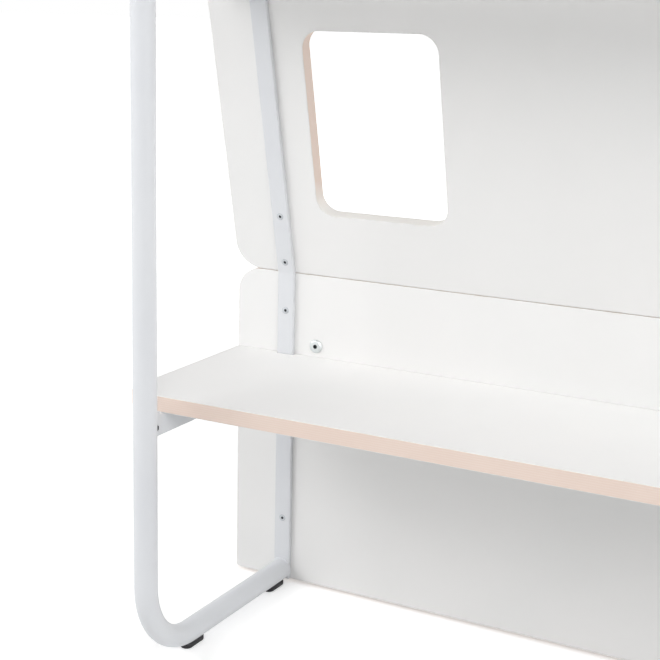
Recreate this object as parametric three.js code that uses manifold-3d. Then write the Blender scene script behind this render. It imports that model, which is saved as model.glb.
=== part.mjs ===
import * as THREE from 'three';
import { mergeVertices } from 'three/addons/utils/BufferGeometryUtils.js';
import Module from 'manifold-3d';

const wasm = await Module();
wasm.setup();

// A free-standing storage unit: two side frames of bent tube and flat strap, an upright
// lower back board, an upper back board that leans forward and has two windows, and two
// decks that lie on bearers. Lengths are in millimetres. X runs along the unit, Y from
// front to back and Z up. Places are drawn from the plan centre of the left front tube
// and from the floor, and the whole is centred at the end.

// Whole unit
const frameSpacing = 1438; // between the planes of the two side frames
const frameDepth = 344; // front tube's centre to the strap's front face
const frameHeight = 1292; // lowest to highest point of a side frame's tube
const seat = 0.3; // gap of paint and fit between pieces that rest on each other

// Tube of the side frames
const tubeDiameter = 30;
const tubeWall = 2.5;
const bendRadius = 97; // of the tube's centre line
const tubeRadius = tubeDiameter / 2;

// Flat bar, of which the straps, lugs, bearers and the rail are cut
const flatWidth = 25;
const flatThickness = 6;
const flatCornerRadius = 3;
const strapBendRadius = 24; // outside of the bend at the joint of the back boards

// Boards
const boardThickness = 21;
const boardOverhang = 81; // past the plane of each side frame
const leanAngle = THREE.MathUtils.degToRad(13); // upper back board, forward from upright
const lowerBoardFloorGap = 5;
const jointHeight = 463; // floor to the top of the lower back board
const jointGap = 0.8;
const lowerBoardTopRadius = 35;
const lowerBoardFootRadius = 5;
const upperBoardRadius = 38;

// Windows in the upper back board
const windowInset = 56.5; // side frame's plane to the window's near side
const windowWidth = 192.5;
const windowSill = 91.5; // joint to the window's lower side, up the board
const windowHeight = 254.5;
const windowRadius = 25.5;

// Decks
const deckSetback = 68.5; // front tube's centre to the decks' front edge
const deckCornerRadius = 26;
const lowerDeckTop = 346; // above the floor
const upperDeckTop = 888;
const notchClearance = 1; // round the straps

// Bearers, the lugs that carry them in front, and the tabs that hold the decks down
const lugBite = 2; // how far the lug's face lies inside the tube's outermost line
const lugFront = 2; // behind the front tube's centre
const lugReach = 52; // from the front tube's centre to the lug's free end
const lugHeight = 30;
const lugDrop = 10.5; // the bolt's middle to the lug's lower edge
const lugOverlap = 27; // of the bearer on its lug
const bearerHeight = 27.5;
const bearerBoltDrop = 11.6; // the decks' underside to the bearer bolts' middle
const bearerBendRadius = 10; // outside of the bend into the bearer's foot
const footMargin = 1; // the foot ends short of the strap's far side
const tabWidth = 26;
const tabThickness = 4;
const tabReach = 26; // out of the bearer's face

// Rail behind the lower back board
const railRise = 15.5; // lower deck's top to the rail's centre line
const connectorInset = 47; // side frame's plane to the outer connector bolts
const railOverrun = 14; // past the outer connector bolts

// Countersunk screws
const screwHeadRadius = 5;
const screwHeadDepth = 2.8;
const screwRadius = 2.4;
const screwTip = 3;
const socketRadius = 1.8;
const socketDepth = 1.8;
const strapScrewBite = 14; // of a screw's thread in the board that it holds
const deckScrewBite = 34;
const tabScrewBite = 13;
const lowScrewHeight = 99; // above the floor
const highScrewDrop = 54.3; // below the joint
const nearScrewRise = 17; // above the joint, up the leaning board
const farScrewRise = 85.5;

// Button-head bolts and nuts at the lugs
const boltRadius = 3;
const boltHeadRadius = 5.5;
const boltHeadHeight = 3.2;
const boltHeadEdge = 0.8;
const boltFromLugEnd = 12.5;
const boltStandOut = 1.5; // past the nut
const nutWidth = 10; // across its flats
const nutHeight = 5;
const boltSocketRadius = 2.3;
const boltSocketDepth = 2;

// Connector bolts and sleeve nuts through the lower back board and the rail
const connectorHeadRadius = 9.5;
const connectorHeadHeight = 3;
const connectorHeadEdge = 1;
const connectorHeadTopRadius = 8;
const connectorSocketRadius = 3.3;
const connectorSocketDepth = 2.4;
const connectorLength = 20; // under the head
const sleeveRadius = 4.4;
const sleeveFlangeRadius = 7;
const sleeveFlangeHeight = 2;
const sleeveLength = 16; // under the flange
const sleeveFloor = 2; // left under the bore

// Glides under the tubes
const glideHeight = 6; // floor to the tube's underside
const glideLength = 43;
const glideWidth = 17.5;
const glideEdge = 2;
const glideWrap = 3.4; // how far the glide's sides reach up past the tube's underside
const frontGlideLap = 13.5; // of the front glide under the bend's end
const rearGlideGap = 2.5; // rear glide to the strap
const glidePegRadius = 2.5;
const glidePegLength = 5;

// Facets of round work
const tubeSides = 20;
const boreSides = 12;
const bendSteps = 10;
const smallSides = 12;
const headSides = 16;
const cornerSegments = 6;
const overrun = 5; // of cutting shapes past what they cut

// Sizes that follow from the ones above
const tubeLowLine = glideHeight + tubeRadius;
const tubeTopLine = glideHeight + frameHeight - tubeRadius;
const frameTop = glideHeight + frameHeight;
const panelFront = frameDepth + flatThickness + seat;
const leanRise = Math.cos(leanAngle);
const leanAdvance = Math.sin(leanAngle);
const leanSlope = Math.tan(leanAngle);
const upperBoardTop = (frameTop - jointHeight) / leanRise; // up the board from the joint
const lowerDeckUnder = lowerDeckTop - boardThickness;
const upperDeckUnder = upperDeckTop - boardThickness;
const lugInnerFace = tubeRadius - lugBite; // from the frame's plane, outwards
const lugOuterFace = lugInnerFace + flatThickness;
const bearerInnerFace = lugOuterFace + seat;
const bearerOuterFace = bearerInnerFace + flatThickness;
const railCentre = lowerDeckTop + railRise;
const railFront = boardThickness + seat; // behind the lower back board's face

// Finishes
const paintedSteel = { color: 0xdfe1e4, roughness: 0.42, metalness: 0.0 };
const whiteBoard = { color: 0xecedec, roughness: 0.5, metalness: 0.0 };
const zincSteel = { color: 0xb9bcbe, roughness: 0.35, metalness: 0.9 };
const blackPlastic = { color: 0x1d1c22, roughness: 0.6, metalness: 0.0 };

const unit = new THREE.Group();
unit.position.set(
  -frameSpacing / 2,
  -(panelFront + railFront + flatThickness + seat + sleeveFlangeHeight - tubeRadius) / 2,
  0,
);
const upright = new THREE.Group();
upright.position.set(0, panelFront, 0);
const leaning = new THREE.Group();
leaning.position.set(0, panelFront, jointHeight);
leaning.rotation.x = leanAngle;
unit.add(upright, leaning);
upright.updateMatrix();
leaning.updateMatrix();

// Solids, cuts and meshes

// Turns a geometry into a solid whose shared corners are merged.
function solid(geometry, matrix = new THREE.Matrix4()) {
  const bare = geometry.clone().applyMatrix4(matrix);
  bare.deleteAttribute('normal');
  bare.deleteAttribute('uv');
  const merged = mergeVertices(bare);
  return new wasm.Manifold(new wasm.Mesh({
    numProp: 3,
    vertProperties: new Float32Array(merged.attributes.position.array),
    triVerts: new Uint32Array(merged.index.array),
  }));
}

// Turns a solid back into a geometry.
function geometryOf(body) {
  const mesh = body.getMesh();
  const geometry = new THREE.BufferGeometry();
  geometry.setAttribute('position', new THREE.BufferAttribute(mesh.vertProperties, 3));
  geometry.setIndex(new THREE.BufferAttribute(mesh.triVerts, 1));
  geometry.computeVertexNormals();
  return geometry;
}

// Takes each of the cutters away from a body.
function cut(body, cutters) {
  return cutters.reduce((rest, cutter) => rest.subtract(cutter), body);
}

// Adds a named mesh to a group.
function addPiece(group, name, geometry, finish) {
  const mesh = new THREE.Mesh(geometry, new THREE.MeshStandardMaterial(finish));
  mesh.name = name;
  group.add(mesh);
  return mesh;
}

// Brings a cutter's matrix from one group's frame into another's.
function between(fromGroup, toGroup, matrix) {
  return toGroup.matrix.clone().invert().multiply(fromGroup.matrix).multiply(matrix);
}

const drawing = new THREE.Group(); // the frame in which places are drawn
drawing.updateMatrix();

// Outlines

// Outline of a rectangle whose corners, from the lower left and anticlockwise, are round.
function roundedOutline(x0, y0, x1, y1, radii, Kind = THREE.Shape) {
  const [lowLeft, lowRight, topRight, topLeft] = radii;
  const quarter = Math.PI / 2;
  const outline = new Kind();
  outline.moveTo(x0 + lowLeft, y0);
  outline.lineTo(x1 - lowRight, y0);
  if (lowRight > 0) {
    outline.absarc(x1 - lowRight, y0 + lowRight, lowRight, -quarter, 0);
  }
  outline.lineTo(x1, y1 - topRight);
  if (topRight > 0) {
    outline.absarc(x1 - topRight, y1 - topRight, topRight, 0, quarter);
  }
  outline.lineTo(x0 + topLeft, y1);
  if (topLeft > 0) {
    outline.absarc(x0 + topLeft, y1 - topLeft, topLeft, quarter, 2 * quarter);
  }
  outline.lineTo(x0, y0 + lowLeft);
  if (lowLeft > 0) {
    outline.absarc(x0 + lowLeft, y0 + lowLeft, lowLeft, 2 * quarter, 3 * quarter);
  }
  outline.closePath();
  return outline;
}

// Extrudes an outline drawn in X and Y by a depth along Z.
function extruded(outline, depth) {
  return new THREE.ExtrudeGeometry(outline, {
    depth, bevelEnabled: false, curveSegments: cornerSegments,
  });
}

// A board drawn in X and Z, whose front face is at Y zero.
function standingBoard(outline, thickness) {
  return extruded(outline, thickness).rotateX(Math.PI / 2).translate(0, thickness, 0);
}

// A plate drawn in Y and Z, between two places along X.
function sidePlate(outline, x0, x1) {
  const turned = new THREE.Matrix4().makeBasis(
    new THREE.Vector3(0, 1, 0), new THREE.Vector3(0, 0, 1), new THREE.Vector3(1, 0, 0),
  );
  return extruded(outline, x1 - x0).applyMatrix4(turned).translate(x0, 0, 0);
}

// A block between two corners.
function block(low, high) {
  const size = high.map((value, axis) => value - low[axis]);
  const middle = high.map((value, axis) => (value + low[axis]) / 2);
  return new THREE.BoxGeometry(...size).translate(...middle);
}

// Place in Y of a plane that lies a distance in front of the leaning board, at a height.
function leaningFaceAt(height, distance) {
  return panelFront - (height - jointHeight) * leanSlope - distance / leanRise;
}

// Fasteners, each drawn with its head's face at the origin and its shank along +Y

// Profile of a countersunk screw, or of its hole when it is let out by a gap.
function screwProfile(length, gap) {
  const mouth = gap > 0 ? [[screwHeadRadius + gap, -overrun]] : [];
  const start = gap > 0 ? -overrun : 0;
  return [
    [0, start],
    ...mouth,
    [screwHeadRadius + gap, 0],
    [screwRadius + gap, screwHeadDepth],
    [screwRadius + gap, length - screwTip + gap],
    [0, length + gap],
  ].map(([radius, along]) => new THREE.Vector2(radius, along));
}

function countersunkScrew(length) {
  const body = solid(new THREE.LatheGeometry(screwProfile(length, 0), smallSides));
  const socket = new THREE.CylinderGeometry(socketRadius, socketRadius, 2 * socketDepth, 6);
  return geometryOf(cut(body, [solid(socket)]));
}

function screwHole(length, matrix) {
  return solid(new THREE.LatheGeometry(screwProfile(length, seat), smallSides), matrix);
}

function buttonBolt(length) {
  const profile = [
    [0, -boltHeadHeight],
    [boltHeadRadius - boltHeadHeight / 2, -boltHeadHeight],
    [boltHeadRadius, -boltHeadEdge],
    [boltHeadRadius, 0],
    [boltRadius, 0],
    [boltRadius, length],
    [0, length],
  ].map(([radius, along]) => new THREE.Vector2(radius, along));
  const socket = new THREE.CylinderGeometry(
    boltSocketRadius, boltSocketRadius, 2 * boltSocketDepth, 6,
  ).translate(0, -boltHeadHeight, 0);
  const body = solid(new THREE.LatheGeometry(profile, headSides));
  return geometryOf(cut(body, [solid(socket)]));
}

function hexNut() {
  const corner = nutWidth / 2 / Math.cos(Math.PI / 6);
  const body = solid(new THREE.CylinderGeometry(corner, corner, nutHeight, 6));
  const bore = boltRadius + seat;
  const hole = solid(new THREE.CylinderGeometry(bore, bore, nutHeight + overrun, smallSides));
  return geometryOf(cut(body, [hole]));
}

function connectorBolt() {
  const profile = [
    [0, -connectorHeadHeight],
    [connectorHeadTopRadius, -connectorHeadHeight],
    [connectorHeadRadius, -connectorHeadEdge],
    [connectorHeadRadius, 0],
    [boltRadius, 0],
    [boltRadius, connectorLength],
    [0, connectorLength],
  ].map(([radius, along]) => new THREE.Vector2(radius, along));
  const socket = new THREE.CylinderGeometry(
    connectorSocketRadius, connectorSocketRadius, 2 * connectorSocketDepth, 6,
  ).translate(0, -connectorHeadHeight, 0);
  const body = solid(new THREE.LatheGeometry(profile, headSides));
  return geometryOf(cut(body, [solid(socket)]));
}

// Sleeve nut, drawn with its flange's seat at the origin and its sleeve along -Y.
function sleeveNut() {
  const bore = boltRadius + seat;
  const profile = [
    [0, sleeveFloor - sleeveFlangeHeight],
    [bore, sleeveFloor - sleeveFlangeHeight],
    [bore, -sleeveLength],
    [sleeveRadius, -sleeveLength],
    [sleeveRadius, 0],
    [sleeveFlangeRadius, 0],
    [sleeveFlangeRadius, sleeveFlangeHeight],
    [0, sleeveFlangeHeight],
  ].map(([radius, along]) => new THREE.Vector2(radius, along));
  return new THREE.LatheGeometry(profile, headSides);
}

// Where the screws are: each has a group, a place in it, a length and the pieces it holds

const strapDepth = seat + flatThickness; // strap's front face, in front of the boards
const footDepth = strapDepth + seat + flatThickness; // bearer foot's front face
const frames = [
  { word: 'left', side: -1, x: 0 },
  { word: 'right', side: 1, x: frameSpacing },
];
const decks = [
  { word: 'lower', under: lowerDeckUnder, group: upright, slope: 0 },
  { word: 'upper', under: upperDeckUnder, group: leaning, slope: leanSlope },
];

// Height in a back board's own frame of a place that is a height above the floor, on a
// plane that lies a distance in front of the board.
function heightOnBoard(group, height, distance) {
  if (group === upright) {
    return height;
  }
  return (height - jointHeight + distance * leanAdvance) / leanRise;
}

// Screws through a strap into the back boards, at one side frame.
function strapScrews(frame) {
  const length = strapDepth + strapScrewBite;
  const spots = [
    ['foot', upright, lowScrewHeight],
    ['below_joint', upright, jointHeight - highScrewDrop],
    ['above_joint', leaning, nearScrewRise],
    ['window', leaning, farScrewRise],
    ['shelf', leaning, upperBoardTop - farScrewRise],
    ['top', leaning, upperBoardTop - nearScrewRise],
  ];
  return spots.map(([word, group, height]) => ({
    name: `strap_screw_${frame.word}_${word}`, group, length,
    matrix: new THREE.Matrix4().makeTranslation(frame.x, -strapDepth, height),
  }));
}

// Screws through a bearer's foot and the strap into a back board.
function footScrews(frame) {
  const length = footDepth + strapScrewBite;
  return decks.map((deck) => ({
    name: `bearer_foot_screw_${frame.word}_${deck.word}`, group: deck.group, length, deck,
    matrix: new THREE.Matrix4().makeTranslation(
      frame.x, -footDepth, heightOnBoard(deck.group, deck.under - bearerHeight / 2, footDepth),
    ),
  }));
}

// Screws from behind a back board into a deck's rear edge, at a third from each end.
const deckScrewShares = [1 / 3, 2 / 3];
function rearScrews(deck) {
  const length = boardThickness + deckScrewBite;
  const dip = deck.slope > 0 ? (deckScrewBite / 2) * leanAdvance : 0;
  const height = heightOnBoard(deck.group, deck.under + boardThickness / 2 + dip, 0);
  return deckScrewShares.map((share, index) => ({
    name: `deck_screw_${deck.word}_${index + 1}`, group: deck.group, length,
    matrix: new THREE.Matrix4().makeRotationX(Math.PI)
      .setPosition(share * frameSpacing, boardThickness, height),
  }));
}

// Screws up through a bearer's tab into a deck.
function tabScrew(frame, deck) {
  const along = tabMiddle(deck);
  const across = frame.x - frame.side * (tabReach / 2 - bearerInnerFace);
  return {
    name: `tab_screw_${frame.word}_${deck.word}`, group: drawing, deck,
    length: tabThickness + seat + tabScrewBite,
    matrix: new THREE.Matrix4().makeRotationX(Math.PI / 2)
      .setPosition(across, along, deck.under - seat - tabThickness),
  };
}

// Middle of a bearer's tab along Y: half way under its deck.
function tabMiddle(deck) {
  const back = deck.slope > 0 ? leaningFaceAt(deck.under, 0) : panelFront;
  return (deckSetback + back) / 2;
}

// Cutters, in a group's frame, for the holes of a list of screws.
function holesFor(screws, group) {
  return screws.map((screw) => (
    screwHole(screw.length, between(screw.group, group, screw.matrix))
  ));
}

const allStrapScrews = frames.flatMap((frame) => strapScrews(frame));
const allFootScrews = frames.flatMap((frame) => footScrews(frame));
const allRearScrews = decks.flatMap((deck) => rearScrews(deck));
const allTabScrews = frames.flatMap((frame) => decks.map((deck) => tabScrew(frame, deck)));

// Side frames

// Centre line of the side frame's tube: forward along the floor, up, and back again at
// the top. Its steps fall evenly in the two bends, and each straight is one step.
class FrameLine extends THREE.Curve {
  constructor(topEnd) {
    super();
    const bend = (centreY, centreZ, from) => Array.from({ length: bendSteps + 1 }, (_, i) => {
      const angle = from - (i / bendSteps) * (Math.PI / 2);
      return new THREE.Vector3(
        0, centreY + bendRadius * Math.cos(angle), centreZ + bendRadius * Math.sin(angle),
      );
    });
    this.stations = [
      new THREE.Vector3(0, frameDepth - seat, tubeLowLine),
      ...bend(bendRadius, tubeLowLine + bendRadius, -Math.PI / 2),
      ...bend(bendRadius, tubeTopLine - bendRadius, Math.PI),
      new THREE.Vector3(0, topEnd, tubeTopLine),
    ];
    this.turns = [
      new THREE.Vector3(0, -1, 0),
      ...this.stations.slice(1, -1).map((_, index) => {
        const inBend = index % (bendSteps + 1);
        const half = index < bendSteps + 1 ? 0 : Math.PI / 2;
        const angle = half + (inBend / bendSteps) * (Math.PI / 2);
        return new THREE.Vector3(0, -Math.cos(angle), Math.sin(angle));
      }),
      new THREE.Vector3(0, 1, 0),
    ];
  }

  getPointAt(share) {
    return this.stations[Math.round(share * (this.stations.length - 1))].clone();
  }

  getTangentAt(share) {
    return this.turns[Math.round(share * (this.turns.length - 1))].clone();
  }
}

// A regular outline of a circle with a number of sides.
function facetedCircle(radius, sides, Kind) {
  const corners = Array.from({ length: sides }, (_, index) => {
    const angle = (index / sides) * 2 * Math.PI;
    return new THREE.Vector2(radius * Math.cos(angle), radius * Math.sin(angle));
  });
  return new Kind(corners);
}

const glidePlaces = [
  { word: 'front', y: bendRadius - frontGlideLap + glideLength / 2 },
  { word: 'rear', y: frameDepth - rearGlideGap - glideLength / 2 },
];

// Bent tube, cut off in front of the leaning strap and drilled for the glides' pegs.
function sideTube() {
  const line = new FrameLine(frameDepth);
  const ring = facetedCircle(tubeRadius, tubeSides, THREE.Shape);
  ring.holes.push(facetedCircle(tubeRadius - tubeWall, boreSides, THREE.Path));
  const tube = new THREE.ExtrudeGeometry(ring, {
    steps: line.stations.length - 1, extrudePath: line, bevelEnabled: false,
  });
  const behind = solid(block(
    [-tubeDiameter, -strapDepth - seat, 0],
    [tubeDiameter, frameDepth, upperBoardTop + tubeDiameter + overrun],
  ), leaning.matrix);
  const pegHole = glidePegRadius + seat;
  const pegHoles = glidePlaces.map((place) => solid(
    new THREE.CylinderGeometry(pegHole, pegHole, tubeDiameter, smallSides)
      .rotateX(Math.PI / 2).translate(0, place.y, tubeLowLine - tubeRadius),
  ));
  return geometryOf(cut(solid(tube), [behind, ...pegHoles]));
}

// Flat strap, upright below the joint and leaning above it, in front of both boards.
function backStrap(frame) {
  const apex = (distance) => [
    panelFront - distance, jointHeight - distance * Math.tan(leanAngle / 2),
  ];
  const onLean = (distance, rise) => [
    panelFront - rise * leanAdvance - distance * leanRise,
    jointHeight + rise * leanRise - distance * leanAdvance,
  ];
  const centre = apex(seat + strapBendRadius);
  const outline = new THREE.Shape();
  outline.moveTo(panelFront - strapDepth, tubeLowLine - tubeRadius);
  outline.lineTo(panelFront - seat, tubeLowLine - tubeRadius);
  outline.lineTo(panelFront - seat, centre[1]);
  outline.absarc(...centre, strapBendRadius, 0, leanAngle);
  outline.lineTo(...onLean(seat, upperBoardTop));
  outline.lineTo(...onLean(strapDepth, upperBoardTop));
  outline.lineTo(...onLean(strapDepth, strapBendRadius));
  outline.absarc(...centre, strapBendRadius - flatThickness, leanAngle, 0, true);
  outline.closePath();
  const strap = solid(sidePlate(outline, -flatWidth / 2, flatWidth / 2));
  const atPlane = new THREE.Matrix4().makeTranslation(-frame.x, 0, 0);
  const holes = [...strapScrews(frame), ...footScrews(frame)].map((screw) => (
    screwHole(screw.length, atPlane.clone().multiply(screw.group.matrix).multiply(screw.matrix))
  ));
  return geometryOf(cut(strap, holes));
}

// Lug: a short flat welded to the tube's outer flank, reaching back under the deck.
function bearerLug(frame, deck) {
  const low = deck.under - bearerBoltDrop - lugDrop;
  const high = low + lugHeight;
  const corner = flatCornerRadius;
  const outline = roundedOutline(lugFront, low, lugReach, high, [0, corner, corner, 0]);
  const faces = [frame.side * lugInnerFace, frame.side * lugOuterFace].sort((a, b) => a - b);
  const plate = solid(sidePlate(outline, ...faces));
  const round = tubeRadius + seat;
  const tube = solid(
    new THREE.CylinderGeometry(round, round, lugHeight + 2 * overrun, 2 * tubeSides)
      .rotateX(Math.PI / 2).translate(0, 0, (low + high) / 2),
  );
  return geometryOf(cut(plate, [tube, lugBoltHole(deck)]));
}

// Through hole for the bolt that joins a lug and its bearer.
function lugBoltHole(deck) {
  const radius = boltRadius + seat;
  const length = 2 * (bearerOuterFace + overrun);
  return solid(
    new THREE.CylinderGeometry(radius, radius, length, smallSides).rotateZ(Math.PI / 2)
      .translate(0, lugReach - boltFromLugEnd, deck.under - bearerBoltDrop),
  );
}

// Bearer: a flat on edge beside the frame, bent round at the back into a foot that lies on
// the strap, with a tab on its inner face that is screwed to the deck.
function bearer(frame, deck) {
  const low = deck.under - seat - bearerHeight;
  const high = deck.under - seat;
  const back = panelFront - footDepth + flatThickness
    - (deck.slope > 0 ? (low - jointHeight) * leanSlope + footDepth * (1 / leanRise - 1)
      - flatThickness * (1 / leanRise - 1) : 0);
  const footFront = deck.slope > 0 ? back - flatThickness / leanRise : back - flatThickness;
  const inner = -frame.side * (flatWidth / 2 - footMargin);
  const outer = frame.side * bearerOuterFace;
  const face = frame.side * bearerInnerFace;
  const start = lugReach - lugOverlap;
  const bend = bearerBendRadius;
  const inside = bearerBendRadius - flatThickness;
  const outline = new THREE.Shape();
  outline.moveTo(outer, start);
  outline.lineTo(outer, back - bend);
  outline.quadraticCurveTo(outer, back, outer - frame.side * bend, back);
  outline.lineTo(inner, back);
  outline.lineTo(inner, footFront);
  outline.lineTo(face - frame.side * inside, footFront);
  outline.quadraticCurveTo(face, footFront, face, footFront - inside);
  outline.lineTo(face, start);
  outline.closePath();
  const sheared = new THREE.Matrix4().set(
    1, 0, 0, 0,
    0, 1, -deck.slope, 0,
    0, 0, 1, 0,
    0, 0, 0, 1,
  );
  const bar = extruded(outline, bearerHeight).applyMatrix4(sheared).translate(0, 0, low);
  const middle = tabMiddle(deck);
  const tabEdges = [
    face - frame.side * tabReach, face + (frame.side * flatThickness) / 2,
  ].sort((a, b) => a - b);
  const tab = block(
    [tabEdges[0], middle - tabWidth / 2, high - tabThickness],
    [tabEdges[1], middle + tabWidth / 2, high],
  );
  const atPlane = new THREE.Matrix4().makeTranslation(-frame.x, 0, 0);
  const screws = [tabScrew(frame, deck), ...footScrews(frame).filter((s) => s.deck === deck)];
  const holes = screws.map((screw) => (
    screwHole(screw.length, atPlane.clone().multiply(screw.group.matrix).multiply(screw.matrix))
  ));
  return geometryOf(cut(solid(bar).add(solid(tab)), [lugBoltHole(deck), ...holes]));
}

// Glide: a pad with round ends, hollowed to the tube and held by a peg in it.
function glide() {
  const half = glideLength / 2 - glideEdge;
  const round = glideWidth / 2 - glideEdge;
  const outline = new THREE.Shape();
  outline.absarc(0, half - round, round, 0, Math.PI);
  outline.absarc(0, round - half, round, Math.PI, 2 * Math.PI);
  outline.closePath();
  const pad = new THREE.ExtrudeGeometry(outline, {
    depth: glideHeight + glideWrap - 2 * glideEdge,
    curveSegments: cornerSegments,
    bevelThickness: glideEdge,
    bevelSize: glideEdge,
    bevelSegments: 2,
  }).translate(0, 0, glideEdge);
  const hollow = tubeRadius + seat;
  const tube = new THREE.CylinderGeometry(
    hollow, hollow, glideLength + 2 * overrun, 2 * tubeSides,
  ).translate(0, 0, tubeLowLine);
  const peg = new THREE.CylinderGeometry(
    glidePegRadius, glidePegRadius, glideHeight / 2 + glidePegLength, smallSides,
  ).rotateX(Math.PI / 2).translate(0, 0, (glideHeight * 1.5 + glidePegLength) / 2);
  return geometryOf(solid(pad).subtract(solid(tube)).add(solid(peg)));
}

for (const frame of frames) {
  const sideFrame = new THREE.Group();
  sideFrame.position.x = frame.x;
  unit.add(sideFrame);
  addPiece(sideFrame, `side_tube_${frame.word}`, sideTube(), paintedSteel);
  addPiece(sideFrame, `back_strap_${frame.word}`, backStrap(frame), paintedSteel);
  for (const place of glidePlaces) {
    const name = `glide_${frame.word}_${place.word}`;
    addPiece(sideFrame, name, glide(), blackPlastic).position.y = place.y;
  }
  for (const deck of decks) {
    const tail = `${frame.word}_${deck.word}`;
    addPiece(sideFrame, `bearer_lug_${tail}`, bearerLug(frame, deck), paintedSteel);
    addPiece(sideFrame, `bearer_${tail}`, bearer(frame, deck), paintedSteel);
    const grip = 2 * flatThickness + 3 * seat + nutHeight + boltStandOut;
    const bolt = addPiece(sideFrame, `bearer_bolt_${tail}`, buttonBolt(grip), zincSteel);
    const nut = addPiece(sideFrame, `bearer_nut_${tail}`, hexNut(), zincSteel);
    const along = lugReach - boltFromLugEnd;
    const height = deck.under - bearerBoltDrop;
    bolt.rotation.z = -frame.side * (Math.PI / 2);
    bolt.position.set(frame.side * (lugInnerFace - seat), along, height);
    nut.rotation.z = Math.PI / 2;
    nut.position.set(frame.side * (bearerOuterFace + seat + nutHeight / 2), along, height);
  }
}

// Back boards

const connectorPlaces = [
  { word: 'left', x: connectorInset },
  { word: 'middle', x: frameSpacing / 2 },
  { word: 'right', x: frameSpacing - connectorInset },
];

// Straight hole along Y through a board or the rail.
function crossHole(radius, x, height) {
  const length = 2 * (boardThickness + railFront + overrun);
  return solid(
    new THREE.CylinderGeometry(radius, radius, length, smallSides).translate(x, 0, height),
  );
}

function lowerBackBoard() {
  const outline = roundedOutline(
    -boardOverhang, lowerBoardFloorGap, frameSpacing + boardOverhang, jointHeight,
    [lowerBoardFootRadius, lowerBoardFootRadius, lowerBoardTopRadius, lowerBoardTopRadius],
  );
  const screws = [...allStrapScrews, ...allFootScrews, ...allRearScrews]
    .filter((screw) => screw.group === upright);
  const connectorHoles = connectorPlaces.map((place) => (
    crossHole(sleeveRadius + seat, place.x, railCentre)
  ));
  const board = solid(standingBoard(outline, boardThickness));
  return geometryOf(cut(board, [...holesFor(screws, upright), ...connectorHoles]));
}

function upperBackBoard() {
  const outline = roundedOutline(
    -boardOverhang, jointGap, frameSpacing + boardOverhang, upperBoardTop,
    [upperBoardRadius, upperBoardRadius, upperBoardRadius, upperBoardRadius],
  );
  const windowSides = [windowInset, frameSpacing - windowInset - windowWidth];
  for (const side of windowSides) {
    outline.holes.push(roundedOutline(
      side, windowSill, side + windowWidth, windowSill + windowHeight,
      [windowRadius, windowRadius, windowRadius, windowRadius], THREE.Path,
    ));
  }
  const screws = [...allStrapScrews, ...allFootScrews, ...allRearScrews]
    .filter((screw) => screw.group === leaning);
  const board = solid(standingBoard(outline, boardThickness));
  return geometryOf(cut(board, holesFor(screws, leaning)));
}

function rearRail() {
  const outline = roundedOutline(
    connectorInset - railOverrun, railCentre - flatWidth / 2,
    frameSpacing - connectorInset + railOverrun, railCentre + flatWidth / 2,
    [flatCornerRadius, flatCornerRadius, flatCornerRadius, flatCornerRadius],
  );
  const holes = connectorPlaces.map((place) => (
    crossHole(sleeveRadius + seat, place.x, railCentre)
  ));
  return geometryOf(cut(solid(standingBoard(outline, flatThickness)), holes));
}

addPiece(upright, 'lower_back_board', lowerBackBoard(), whiteBoard);
addPiece(leaning, 'upper_back_board', upperBackBoard(), whiteBoard);
addPiece(upright, 'rear_rail', rearRail(), paintedSteel).position.y = railFront;
for (const place of connectorPlaces) {
  const bolt = addPiece(
    upright, `connector_bolt_${place.word}`, connectorBolt(), zincSteel,
  );
  bolt.position.set(place.x, -seat, railCentre);
  const nut = addPiece(upright, `connector_nut_${place.word}`, sleeveNut(), zincSteel);
  nut.position.set(place.x, railFront + flatThickness + seat, railCentre);
}
for (const screw of [...allStrapScrews, ...allFootScrews, ...allRearScrews]) {
  const mesh = addPiece(screw.group, screw.name, countersunkScrew(screw.length), zincSteel);
  mesh.applyMatrix4(screw.matrix);
}

// Decks

// Deck: round corners in front, its rear edge cut to the back board and notched round the
// straps, drilled from behind and from below.
function deckBoard(deck) {
  const outline = roundedOutline(
    -boardOverhang, deckSetback, frameSpacing + boardOverhang, panelFront,
    [deckCornerRadius, deckCornerRadius, 0, 0],
  );
  const board = solid(extruded(outline, boardThickness).translate(0, 0, deck.under));
  const reach = frameSpacing + boardOverhang + overrun;
  const low = heightOnBoard(deck.group, deck.under, 0) - boardThickness - overrun;
  const high = heightOnBoard(deck.group, deck.under, 0) + 2 * boardThickness + overrun;
  const behind = solid(
    block([-boardOverhang - overrun, -seat, low], [reach, frameDepth, high]),
    deck.group.matrix,
  );
  const half = flatWidth / 2 + notchClearance;
  const notches = frames.map((frame) => solid(
    block(
      [frame.x - half, -strapDepth - notchClearance, low],
      [frame.x + half, frameDepth, high],
    ),
    deck.group.matrix,
  ));
  const screws = [...allRearScrews, ...allTabScrews];
  return geometryOf(cut(board, [behind, ...notches, ...holesFor(screws, drawing)]));
}

for (const deck of decks) {
  addPiece(unit, `${deck.word}_deck`, deckBoard(deck), whiteBoard);
}
for (const screw of allTabScrews) {
  const mesh = addPiece(unit, screw.name, countersunkScrew(screw.length), zincSteel);
  mesh.applyMatrix4(screw.matrix);
}

const storageUnit = new THREE.Group();
storageUnit.add(unit);
export default storageUnit;
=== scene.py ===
# %% [markdown]
# # The head end of a storage bed
#
# This notebook dresses a finished CAD model. The real piece is a light steel and plywood
# unit: two side frames of bent tube and flat strap carry an upright board, a second board
# that leans forward over it, and two open decks. The CAD model fixes every size, so the
# work here is rounding, edges, fasteners and finishes.
#
# First we load the CAD model, which brings in one object for each CAD node.

# %% Load the CAD model
import math

import bpy
import numpy as np
from mathutils import Matrix, Vector
from mathutils.geometry import tessellate_polygon


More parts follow.
